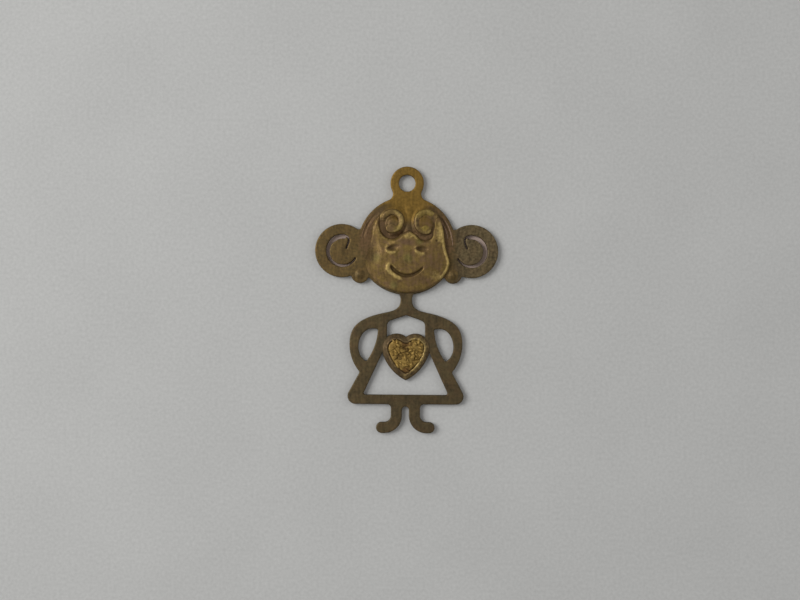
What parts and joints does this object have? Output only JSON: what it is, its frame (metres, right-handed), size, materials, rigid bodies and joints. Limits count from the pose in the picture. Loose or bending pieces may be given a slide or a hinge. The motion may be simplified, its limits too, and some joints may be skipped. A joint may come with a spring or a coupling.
{
  "type": "milagro charm",
  "caption": "Flat brass doll charm with a hanging loop, curled ears, a pressed smiling face and a heart set in its open dress.",
  "frame": {"origin": "centre of the hanging loop's hole, on the plate's flat back face", "axes": "+X towards the right ear in the front view, +Y from the feet to the loop, +Z out of the front"},
  "size_m": [0.0274, 0.0399, 0.0018],
  "materials": {
    "plate": "dark tarnished brass",
    "face": "worn brass, brown in the hollows",
    "curls": "worn brass on dark brown",
    "setting": "dark tarnished brass",
    "inlay": "rough yellow nugget brass",
    "studs": "dark tarnished brass"
  },
  "bodies": {
    "root": {"pierced_plate": "plate", "face_shell": "face", "curl_right": "curls", "curl_left": "curls", "heart_setting": "setting", "heart_inlay": "inlay", "ear_stud_right": "studs", "ear_stud_left": "studs"}
  },
  "joints": []
}
